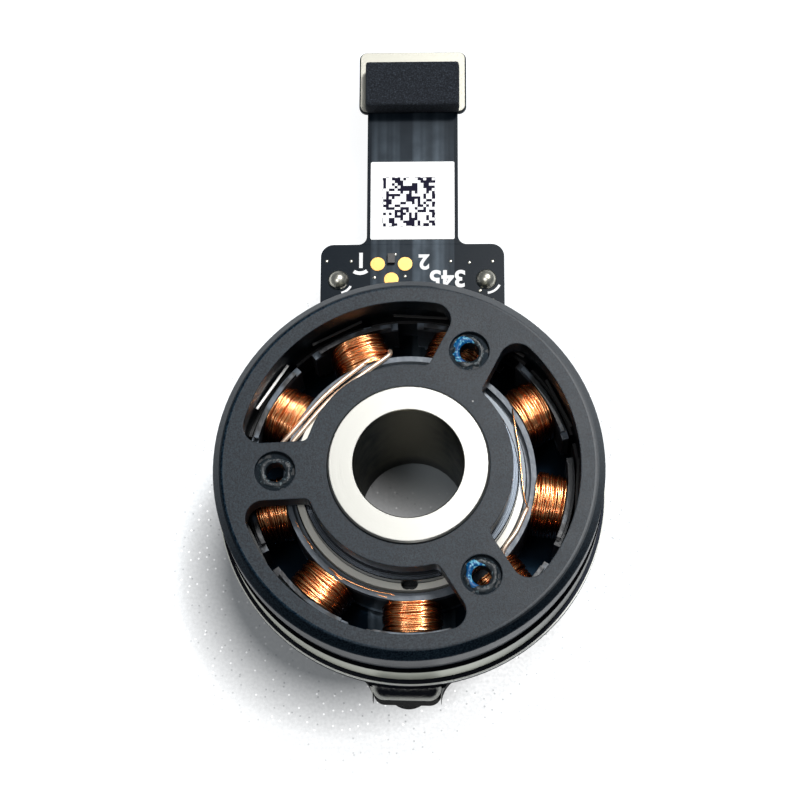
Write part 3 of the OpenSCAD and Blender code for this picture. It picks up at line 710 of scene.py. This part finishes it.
def winding_paths(index):
    """The long wire of one winding and a few slanting turns on top of it."""
    rng = random.Random(index)
    span = COIL_OUT - COIL_IN - 2 * WIRE_RADIUS
    path = []
    for layer in range(LAYERS):
        shrink = WIRE_RADIUS + (LAYERS - 1 - layer) * 1.8 * WIRE_RADIUS
        total = TURNS_ACROSS * POINTS_PER_TURN
        for k in range(total):
            share = k / total if layer % 2 == 0 else 1 - k / total
            outward = COIL_IN + WIRE_RADIUS + span * share
            seed = index * 50 + layer * 20 + int(k / POINTS_PER_TURN)
            path.append(wound_point(outward, -math.pi / 2 + math.tau * k / POINTS_PER_TURN, shrink, seed))
    strays = []
    for s in range(STRAYS):
        start = rng.uniform(0.05, 0.8)
        slant = rng.uniform(-0.3, 0.3)
        stray = []
        for k in range(POINTS_PER_TURN // 2 + 1):
            share = k / (POINTS_PER_TURN // 2)
            outward = COIL_IN + WIRE_RADIUS + span * min(max(start + slant * share, 0), 1)
            stray.append(wound_point(outward, math.pi * share, -0.5 * WIRE_RADIUS, index * 90 + s))
        strays.append(stray)
    return [path] + strays


print("wire of %.2f mm, %d turns a coil" % (2 * WIRE_RADIUS / MM, TURNS_ACROSS * LAYERS))

# %% [markdown]
# Copper wire has a clear amber enamel. The metal gives the highlight along the crown, and a
# thin coat gives the enamel's shine. Below the crown the copper is painted a deep red, as
# shade on the sides, and the top of the crown is painted pale, as a highlight. Each winding
# varies slowly in colour where the enamel is thicker.

# %% Copper finish
CROWN_LOW = STACK_MID + 1.5 * MM
CROWN_HIGH = STACK_MID + 2.5 * MM
copper, tree, shader, normal = new_material(
    "copper", (0.9, 0.4, 0.16), 1.0, 0.25, edge=0.0, Coat_Weight=0.9, Coat_Roughness=0.15,
)
x, y, z = split_axes(tree)
patches = noise_node(tree, object_place(tree), 1500, 3)
color = mix_node(tree, patches, (0.95, 0.25, 0.06), (1, 0.62, 0.28))
# Painted shade: below the crown the copper turns a deep red.
color = mix_node(tree, ramp(tree, z, CROWN_LOW, CROWN_HIGH), (0.4, 0.085, 0.022), color)
# Painted highlight: the top of the crown is paler.
painted_crown_highlight = ramp(tree, z, CROWN_HIGH + 0.15 * MM, CROWN_HIGH + 0.6 * MM, 0, 0.6)
drive(shader, "Base Color", mix_node(tree, painted_crown_highlight, color, (1, 0.78, 0.5)))
# The windings' core is a darker copper, painted shade between the turns.
copper_core = grained("copper_core", (0.25, 0.07, 0.02), 0.6, 0.5, 9000, 0.3, edge=0.0)

# %% [markdown]
# The turns hide most of the tooth, but light leaks between them, so each winding has a dark
# core: a loop of the winding's outline, extruded outwards along the tooth. Its darker copper
# is painted shade between the turns.

# %% Make the windings
CORE_INSET = 0.2 * MM


def winding_core(bm):
    """Extrudes the outline of the winding outwards, and bends it with the yoke."""
    angles = [math.tau * k / POINTS_PER_TURN for k in range(POINTS_PER_TURN)]
    ring = [bm.verts.new((COIL_IN, *loop_place(a, CORE_INSET))) for a in angles]
    face = bm.faces.new(ring)
    made = bmesh.ops.extrude_face_region(bm, geom=[face])
    moved = [v for v in made["geom"] if isinstance(v, bmesh.types.BMVert)]
    bmesh.ops.translate(bm, verts=moved, vec=(COIL_OUT - COIL_IN, 0, 0))
    for v in bm.verts:
        v.co.x = math.sqrt(v.co.x ** 2 - v.co.y ** 2)
        v.co.z += STACK_MID
    bmesh.ops.recalc_face_normals(bm, faces=bm.faces)


for i, node_name in enumerate(COILS):
    spin = Matrix.Rotation(TOOTH_TURN + (int(node_name.split("_")[1]) - 1) * TOOTH_PITCH, 4, "Z")
    paths = [[spin @ p for p in path] for path in winding_paths(i)]
    winding = wire_object("winding_%d" % (i + 1), paths, WIRE_RADIUS, copper, "stator")
    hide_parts(node_name)
    core_bm = bmesh.new()
    winding_core(core_bm)
    bmesh.ops.transform(core_bm, matrix=spin, verts=core_bm.verts)
    to_object("winding_core_%d" % (i + 1), core_bm, copper_core, "stator")
print("triangles in one winding", sum(len(p.vertices) - 2 for p in winding.data.polygons))

# %% [markdown]
# ## Leads between the coils
# Wires cross from coil to coil over the yoke. Two thick ones run side by side across the
# left window, a thick and a thin one lie by the sleeve on the right, and thin ones follow
# the yoke at the front. Each is given by the few places that it passes, as a person would
# bend it, and a Catmull-Rom curve joins them smoothly. The ends dive into the windings.

# %% Make the leads
LEAD_Z = CORE_HIGH + 0.93 * MM
THICK_LEADS = [
    [(-8.9, 1.9, -0.8), (-7.81, 2.88, -0.1), (-5.56, 5.48, 0.04), (-2.95, 7.72, -0.02), (-1.9, 8.7, -0.8)],
    [(-8.6, 1.3, -0.8), (-7.52, 2.51, -0.1), (-5.28, 5.16, 0.02),
     (-3.02, 7.0, 0.02), (-1.45, 8.2, -0.05), (-1.35, 8.7, -0.6)],
    [(7.9, -1.4, -0.8), (7.46, -2.35, -0.1), (6.85, -3.7, 0.02), (6.0, -4.98, -0.1), (6.1, -6.1, -0.8)],
]
THIN_LEADS = [
    [(7.9, -2.4, -0.8), (7.6, -2.1, -0.1), (7.37, -1.3, 0.1), (7.2, 0.37, 0.1),
     (7.1, 1.7, 0.1), (6.85, 3.3, 0.1), (6.7, 4.4, -0.1), (6.6, 5.6, -0.8)],
    [(-7.9, -2.1, -0.5), (-7.48, -2.73, -0.2), (-6.88, -3.8, -0.2), (-6.2, -4.82, -0.2), (-5.9, -5.8, -0.7)],
    [(-5.7, -6.1, -0.7), (-5.25, -5.95, -0.2), (-4.2, -6.72, -0.15),
     (-2.5, -7.45, -0.15), (-0.9, -7.85, -0.2), (-0.7, -8.5, -0.7)],
    [(-5.3, -6.4, -0.7), (-4.9, -6.35, -0.2), (-4.0, -6.98, -0.2),
     (-2.4, -7.65, -0.2), (-1.4, -8.0, -0.2), (-1.2, -8.6, -0.7)],
]
THICK_RADIUS = 0.155 * MM
THIN_RADIUS = 0.05 * MM


def smooth_path(places, steps=9):
    """Points of a Catmull-Rom curve through the places, given in mm, at the leads' height."""
    knots = [Vector((x * MM, y * MM, LEAD_Z + z * MM)) for x, y, z in places]
    knots = [knots[0], *knots, knots[-1]]
    path = []
    for before, start, end, after in zip(knots, knots[1:], knots[2:], knots[3:]):
        for k in range(steps):
            t = k / steps
            path.append((
                start * 2 + (end - before) * t
                + (before * 2 - start * 5 + end * 4 - after) * t ** 2
                + (start * 3 - before - end * 3 + after) * t ** 3
            ) / 2)
    return path + [knots[-1]]


# The thick leads are a paler copper than the windings, a painted highlight.
lead_copper, tree, shader, normal = new_material("lead_copper", (1, 0.8, 0.64), 1.0, 0.52, edge=0.0)
leads = wire_object(
    "coil_leads", [smooth_path(p) for p in THICK_LEADS], THICK_RADIUS,
    lead_copper, "stator", sides=4,
)
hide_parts("link_wires")
wire_object(
    "thin_leads", [smooth_path(p) for p in THIN_LEADS], THIN_RADIUS,
    copper, "stator", sides=2,
)

# %% [markdown]
# ## Board and ribbon
# The board and the ribbon are black and half glossy. Under the film run copper tracks,
# which show as slightly lighter, raised stripes along the ribbon. Noise across X alone
# gives the stripes, kept to the ribbon's width. Under the stator the board is a black metal
# that mirrors nothing, painted shade under the motor.

# %% Board finishes
TRACKS_PER_METRE = 900
TRACKS_HALF = 2.9 * MM
STATOR_REACH = 12.2 * MM
FILM_COLOR = (0.003, 0.007, 0.012)


def board_film():
    """Black film with raised tracks along Y, which fade towards the plug."""
    material, tree, shader, normal = new_material(
        "board_black", FILM_COLOR, 0.0, 0.3, Specular_IOR_Level=0.1,
    )
    x, y, z = split_axes(tree)
    stripes = noise_line(tree, x, TRACKS_PER_METRE)
    inside = within(tree, x, 0, TRACKS_HALF)
    track = times(tree, above(tree, stripes, 0.53), inside)
    add_bump(tree, shader, normal, track, 0.25, 0.008 * MM)
    fade = ramp(tree, y, 27.5 * MM, 24 * MM, 0.25, 1)
    streaks = times(tree, ramp(tree, stripes, 0.42, 0.72, 0.15, 1), fade)
    patches = noise_node(tree, object_place(tree), 700, 4)
    amount = times(tree, times(tree, streaks, inside), patches)
    drive(shader, "Base Color", mix_node(tree, amount, FILM_COLOR, (0.15, 0.19, 0.23)))
    # Painted shade: under the stator the film turns to a black metal that mirrors nothing.
    drive(shader, "Metallic", below(tree, axis_radius(tree), STATOR_REACH))
    return material


board_black = board_film()
finish_node("circuit_board", board_black)
finish_node("ribbon", board_black)
stiffener_dark = grained("stiffener_dark", (0.05, 0.05, 0.05), 0.0, 0.6, 9000, 0.3)
finish_node("board_stiffener", stiffener_dark)
chip_black = grained("chip_black", (0.02, 0.018, 0.018), 0.0, 0.45, 9000, 0.3)
finish_node("hall_sensors", chip_black, ["board_chip"])
pad_gold = grained("pad_gold", (0.62, 0.36, 0.11), 0.9, 0.35, 5000, 0.3, change=0.3)
finish_node("test_pads", pad_gold, ["connector_contacts"])
rivet_tin = grained("rivet_tin", (0.6, 0.58, 0.5), 1.0, 0.3, 2500, 1.0)
finish_node("board_rivets", rivet_tin)
end_steel = grained("end_steel", (0.38, 0.37, 0.32), 0.6, 0.42, 7000, 0.4)
finish_node("end_plate", end_steel)
plug_plastic = grained("plug_plastic", (0.035, 0.035, 0.04), 0.0, 0.5, 9000, 0.3)
finish_node("connector_body", plug_plastic)

# %% [markdown]
# ## Label
# The label is white coated paper with a dark printed square. A field of small squares comes
# from a white noise on a grid: it has the scale and the colours of a printed mark and says
# nothing.

# %% Label finish
label_low, label_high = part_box("code_label")
LABEL_MID = (label_low + label_high) / 2 + Vector((-0.25, -0.1, 0)) * MM
LABEL_WHITE = (0.98, 0.98, 0.98)
LABEL_INK = (0.004, 0.003, 0.018)
FIELD_HALF = 1.84 * MM
CELL = 0.2 * MM
FIELD_SHIFT = 16 * CELL
label_white, tree, shader, normal = new_material(
    "label_white", LABEL_WHITE, 0.0, 0.7, Specular_IOR_Level=0.15,
)
mapping = tree.nodes.new("ShaderNodeMapping")
mapping.inputs["Location"].default_value = (FIELD_SHIFT - LABEL_MID.x, FIELD_SHIFT - LABEL_MID.y, 0)
tree.links.new(object_place(tree), mapping.inputs["Vector"])
cell_snap = tree.nodes.new("ShaderNodeVectorMath")
cell_snap.operation = "SNAP"
cell_snap.inputs[1].default_value = (CELL, CELL, 1)
tree.links.new(mapping.outputs[0], cell_snap.inputs[0])
cell_scale = tree.nodes.new("ShaderNodeVectorMath")
cell_scale.operation = "SCALE"
cell_scale.inputs["Scale"].default_value = 1 / CELL
tree.links.new(cell_snap.outputs[0], cell_scale.inputs[0])
cells = tree.nodes.new("ShaderNodeTexWhiteNoise")
cells.noise_dimensions = "2D"
tree.links.new(cell_scale.outputs[0], cells.inputs["Vector"])
printed = above(tree, cells.outputs["Value"], 0.5)
for value, middle in zip(split_axes(tree), LABEL_MID.xy):
    printed = times(tree, printed, within(tree, value, middle, FIELD_HALF))
drive(shader, "Base Color", mix_node(tree, printed, LABEL_WHITE, LABEL_INK))
finish_node("code_label", label_white)

# %% [markdown]
# ## Printed marks and solder drops
# White ink marks stand beside the pads, and small tinned holes join the board's layers. The
# marks here are plain numbers, turned as the photo's marks are. Each comes from a text curve
# that is made a mesh, so that it can be set exactly on the board. An arc is one short edge,
# spun about its centre.

# %% Printed marks
INK_HEIGHT = 0.012 * MM
print_white = grained("print_white", (0.8, 0.8, 0.8), 0.0, 0.6, 12000, 0.5, edge=0.0)
NUMBERS = [("1", -3.56, 17.0, 1.5), ("2", 0.8, 16.85, 1.5), ("345", 2.42, 15.62, 1.7)]


def number_mesh(bm, text, x, y, height):
    """Adds a number to the bmesh, its centre at x and y, turned half round on the board."""
    curve = bpy.data.curves.new("number_" + text, "FONT")
    curve.body = text
    curve.align_x = "CENTER"
    curve.align_y = "CENTER"
    curve.size = height
    curve.offset = 0.05
    curve.extrude = INK_HEIGHT / MM / 2
    curve.resolution_u = 4
    letter = bpy.data.objects.new("number_" + text, curve)
    mesh = bpy.data.meshes.new_from_object(letter)
    bpy.data.objects.remove(letter)
    mesh.transform(
        Matrix.Translation((x * MM, y * MM, BOARD_TOP + INK_HEIGHT / 2))
        @ Matrix.Rotation(math.pi, 4, "Z") @ Matrix.Scale(MM, 4)
    )
    bm.from_mesh(mesh)
    bpy.data.meshes.remove(mesh)


def ink_arc(bm, x, y, radius, start, sweep, width):
    """Adds a printed arc about x and y, from an angle over a sweep in degrees."""
    a = math.radians(start)
    ends = [
        bm.verts.new((x * MM + r * MM * math.cos(a), y * MM + r * MM * math.sin(a), BOARD_TOP + INK_HEIGHT))
        for r in (radius - width / 2, radius + width / 2)
    ]
    edge = bm.edges.new(ends)
    bmesh.ops.spin(
        bm, geom=[*ends, edge], cent=(x * MM, y * MM, 0), axis=(0, 0, 1),
        angle=math.radians(sweep), steps=12, use_merge=False,
    )


bm = bmesh.new()
for text, x, y, height in NUMBERS:
    number_mesh(bm, text, x, y, height)
ink_arc(bm, -3.62, 16.75, 0.75, -125, 75, 0.26)
ink_arc(bm, -5.1, 15.5, 0.95, -78, 50, 0.16)
ink_arc(bm, 5.1, 15.5, 1.0, -85, 60, 0.16)
to_object("board_print", bm, print_white, "stator", smooth=False)

# %% Solder drops
DROPS = [
    (-4.24, 16.89), (-5.93, 16.9), (2.64, 16.84), (3.94, 16.73), (5.54, 16.81),
    (-2.62, 15.68), (-0.51, 15.76), (4.66, 14.67), (5.55, 13.97), (-1.2, 17.35),
]
DROP_RADIUS = 0.13 * MM
bm = bmesh.new()
for x, y in DROPS:
    flat = Matrix.Translation((x * MM, y * MM, BOARD_TOP)) @ Matrix.Diagonal((1, 1, 0.45, 1))
    bmesh.ops.create_uvsphere(bm, u_segments=14, v_segments=8, radius=DROP_RADIUS, matrix=flat)
to_object("solder_drops", bm, rivet_tin, "stator")
print("marks", len(NUMBERS) + 3, "drops", len(DROPS))

# %% [markdown]
# ## Thread lock
# The tapped holes carry dried thread lock, squeezed out as an uneven grey ring round each
# hole, with a blue crescent on two of them. A ring could be a torus, but the real one is a
# low, wavy bead. A small arch is spun about the hole, and noise moves its points about.

# %% Thread lock finish
def lock_material(name, dark, light, flake, share):
    """A wet looking, uneven bead with flakes."""
    material, tree, shader, normal = new_material(name, dark, 0.0, 0.36, edge=0.0, Specular_IOR_Level=0.28)
    place = object_place(tree)
    body = mix_node(tree, noise_node(tree, place, 2600, 3), dark, light)
    flakes = above(tree, noise_node(tree, place, 5200, 3), share)
    drive(shader, "Base Color", mix_node(tree, flakes, body, flake))
    add_bump(tree, shader, normal, noise_node(tree, place, 6000, 4), 0.9, 0.04 * MM)
    return material


lock_blue = lock_material(
    "lock_blue", (0.0, 0.008, 0.05), (0.0, 0.13, 0.36), (0.12, 0.36, 0.48), 0.56,
)
lock_grey = lock_material(
    "lock_grey", (0.002, 0.004, 0.006), (0.012, 0.019, 0.024), (0.06, 0.085, 0.095), 0.62,
)

# %% Thread lock rings
LOCK_IN = 0.64 * MM
ARCH_STEPS = 5
DEGREES_PER_STEP = 5
BLUE_STARTS = (60, None, 65)
BLUE_SWEEP = 190


def lock_bead(bm, middle, width, height, start, sweep, seed):
    """Adds a low bead about the middle of a hole, from an angle over a sweep in degrees."""
    turned_to = Matrix.Rotation(math.radians(start), 3, "Z")
    arch = []
    for step in range(ARCH_STEPS + 1):
        t = step / ARCH_STEPS
        rise = height * math.sin(math.pi * t) ** 0.7
        arch.append(bm.verts.new(middle + turned_to @ Vector((LOCK_IN + width * t, 0, rise))))
    edges = [bm.edges.new(pair) for pair in zip(arch, arch[1:])]
    bmesh.ops.spin(
        bm, geom=arch + edges, cent=middle, axis=(0, 0, 1), angle=math.radians(sweep),
        steps=round(sweep / DEGREES_PER_STEP), use_merge=sweep == 360,
    )
    for v in bm.verts:
        out = (v.co - middle).xy
        turn_share = ((math.degrees(math.atan2(out.y, out.x)) - start) % 360) / sweep
        taper = 1 if sweep == 360 else max(4 * turn_share * (1 - turn_share), 0) ** 0.5
        across_bead = (out.length - LOCK_IN) / width * taper
        wobble = noise.noise(Vector((out.x / MM * 1.6, out.y / MM * 1.6, seed)))
        radius = LOCK_IN + across_bead * width * (1 + 0.5 * wobble)
        v.co.x, v.co.y = middle.x + out.x / out.length * radius, middle.y + out.y / out.length * radius
        v.co.z = middle.z + (v.co.z - middle.z) * (1 + 0.6 * wobble) * taper + 0.003 * MM
    bmesh.ops.recalc_face_normals(bm, faces=bm.faces)


for k, blue_start in enumerate(BLUE_STARTS):
    a = math.radians(HOLE_TURN + 120 * k)
    middle = Vector((math.cos(a) * HOLE_CIRCLE, math.sin(a) * HOLE_CIRCLE, SEAT_FLOOR))
    bm = bmesh.new()
    lock_bead(bm, middle, 0.42 * MM, 0.07 * MM, 0, 360, k * 7.3)
    to_object("thread_lock_%d" % (k + 1), bm, lock_grey, "rotor")
    if blue_start is not None:
        bm = bmesh.new()
        lock_bead(bm, middle, 0.5 * MM, 0.15 * MM, blue_start, BLUE_SWEEP, k * 3.1 + 5)
        to_object("thread_lock_blue_%d" % (k + 1), bm, lock_blue, "rotor")

# %% [markdown]
# ## Foam pad
# The pad presses the plug into its socket. It is a block of dense black foam with slightly
# swollen sides and open pores. It starts from a cube, is cut into a grid, and its sides are
# pushed out where they are free.

# %% Foam pad
foam_low, foam_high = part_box("foam_pad")
foam_middle = (foam_low + foam_high) / 2
foam_size = foam_high - foam_low
SWELL = 0.06 * MM
SIDE_DEPTH = 0.2 * MM
foam_black, tree, shader, normal = new_material(
    "foam_black", (0.01, 0.014, 0.022), 0.0, 0.9, edge=0.0, Specular_IOR_Level=0.3,
)
foam_cells = noise_node(tree, object_place(tree), 9000, 2, 0.8)
foam_tone = math_node(tree, "POWER", foam_cells, 4)
drive(shader, "Base Color", mix_node(tree, foam_tone, (0.001, 0.002, 0.004), (0.14, 0.17, 0.22)))
add_bump(tree, shader, normal, foam_cells, 1.0, 0.05 * MM)
bm = bmesh.new()
bmesh.ops.create_cube(bm, size=1)
bmesh.ops.scale(bm, vec=(foam_size.x - 2 * SWELL, foam_size.y - 2 * SWELL, foam_size.z), verts=bm.verts)
bmesh.ops.bevel(
    bm, geom=bm.edges[:], offset=0.16 * MM, offset_type="OFFSET", segments=3,
    affect="EDGES", profile=0.5, material=-1,
)
long_edges = [e for e in bm.edges if e.calc_length() > 0.5 * MM]
bmesh.ops.subdivide_edges(bm, edges=long_edges, cuts=14, use_grid_fill=True)
bmesh.ops.translate(bm, verts=bm.verts, vec=foam_middle)
for v in bm.verts:
    level = (v.co.z - foam_low.z) / foam_size.z
    belly = SWELL * 4 * level * (1 - level)
    off = v.co - foam_middle
    for axis in range(2):
        if abs(off[axis]) > foam_size[axis] / 2 - SIDE_DEPTH:
            v.co[axis] += math.copysign(belly, off[axis])
foam = to_object("foam_block", bm, foam_black, "stator")
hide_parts("foam_pad")

# %% [markdown]
# ## Floor and light
# The motor lies on white paper under soft light from above, a little from the right and
# the back. The floor is stage, not part of the object. It glows white to the camera, and the
# lamps' own shadow shows faintly on it. A painted shadow, soft and to the front left, dims the
# glow near the motor, and under the bore lies a painted patch of shade, lit towards the
# front. What the motor mirrors of the paper is dimmer, and dimmest through the bore. Fine
# grain and dots make it paper.

# %% Floor
FLOOR_SIZE = 20.0
FLOOR_DROP = 0.01 * MM
PAPER_COLOR = (0.24, 0.265, 0.285)
PAPER_GLOW = 0.9
PAINTED_SHADOW_MID = Vector((-4.4, -3.3, 0)) * MM
BORE_REACH = 5 * MM


def paper_finish():
    """Paper that is white to the camera, with a painted soft shadow, painted shade and light under the bore,
    and grain and dots near the motor.
    """
    material = bpy.data.materials.new("paper")
    material.use_nodes = True
    tree, shader = opened(material)
    shader.inputs["Base Color"].default_value = (*PAPER_COLOR, 1)
    shader.inputs["Roughness"].default_value = 0.9
    shader.inputs["Emission Color"].default_value = (1, 1, 1, 1)
    place = object_place(tree)
    x, y, z = split_axes(tree)
    radius = axis_radius(tree)
    near_bore = below(tree, radius, BORE_REACH)

    rays = tree.nodes.new("ShaderNodeLightPath")
    mirrored = math_node(tree, "MAXIMUM", rays.outputs["Is Glossy Ray"], rays.outputs["Is Transmission Ray"])
    mirror_glow = times(tree, mirrored, ramp(tree, radius, 0.04, 0.16, 0.95, 0.12))
    mirror_glow = times(tree, mirror_glow, ramp(tree, near_bore, 0, 1, 1, 0.3))
    seen_glow = times(tree, rays.outputs["Is Camera Ray"], ramp(tree, radius, 0.08, 0.5, PAPER_GLOW, 1))
    open_glow = math_node(tree, "ADD", seen_glow, mirror_glow)

    # Painted shade and light under the bore, and a painted shadow to the front left.
    slant = math_node(tree, "MULTIPLY_ADD", x, 0.35, y)
    painted_bore_light = math_node(tree, "POWER", ramp(tree, slant, 3.2 * MM, -0.8 * MM, 0.04, 0.6), 2.2)
    to_shadow = tree.nodes.new("ShaderNodeVectorMath")
    to_shadow.operation = "DISTANCE"
    to_shadow.inputs[1].default_value = PAINTED_SHADOW_MID
    tree.links.new(place, to_shadow.inputs[0])
    painted_shadow_glow = ramp(tree, to_shadow.outputs["Value"], 8.2 * MM, 12.4 * MM, 0.1, 1)
    under = blend(tree, near_bore, painted_shadow_glow, painted_bore_light)

    grain = math_node(tree, "MULTIPLY_ADD", noise_node(tree, place, 4500, 3), 0.5, 0.75)
    dot, chance = dots(tree, place, 1700, 0.11, "2D")
    dark = times(tree, times(tree, dot, below(tree, chance, 0.3)), 0.4)
    bright = times(tree, times(tree, dot, above(tree, chance, 0.72)), 0.8)
    specked = math_node(tree, "ADD", math_node(tree, "SUBTRACT", grain, dark), bright)
    specked = blend(tree, ramp(tree, radius, 14 * MM, 23 * MM), specked, 1)
    glow = times(tree, open_glow, times(tree, under, specked))
    drive(shader, "Emission Strength", glow)
    return material


bm = bmesh.new()
bmesh.ops.create_grid(bm, x_segments=1, y_segments=1, size=FLOOR_SIZE / 2)
bmesh.ops.translate(bm, verts=bm.verts, vec=(0, 0, -FLOOR_DROP))
floor_mesh = bpy.data.meshes.new("floor")
bm.to_mesh(floor_mesh)
bm.free()
floor_mesh.materials.append(paper_finish())
floor = bpy.data.objects.new("floor", floor_mesh)
scene.collection.objects.link(floor)
print("floor of %.0f m" % FLOOR_SIZE)

# %% [markdown]
# A lamp's size sets how soft its highlights are. The key is large, and the spark beside it
# is small and strong, for the glints on the copper. The overhead lamp lights the bell evenly,
# and two faint ones reach the front side and the left.

# %% Lights
SKY = (0.86, 0.93, 1)


def area_light(name, place, size, power, color=(1, 1, 1)):
    """A square soft lamp that faces the motor."""
    data = bpy.data.lights.new(name, "AREA")
    data.size = size
    data.energy = power
    data.color = color
    lamp = bpy.data.objects.new(name, data)
    scene.collection.objects.link(lamp)
    lamp.location = place
    lamp.rotation_euler = (-Vector(place)).to_track_quat("-Z", "Y").to_euler()


area_light("key", (0.16, 0.22, 0.56), 0.24, 1.1)
area_light("spark", (0.175, 0.245, 0.63), 0.09, 3.5)
area_light("overhead", (0.18, 0.2, 0.62), 0.42, 0.26, SKY)
area_light("front", (0.06, -0.52, 0.22), 0.14, 0.16)
area_light("window", (-0.14, -0.12, 0.58), 0.12, 0.7)
world = bpy.data.worlds.new("world")
world.use_nodes = True
background = world.node_tree.nodes["Background"]
background.inputs["Color"].default_value = (*SKY, 1)
background.inputs["Strength"].default_value = 0.17
scene.world = world
print("lamps", len(bpy.data.lights))
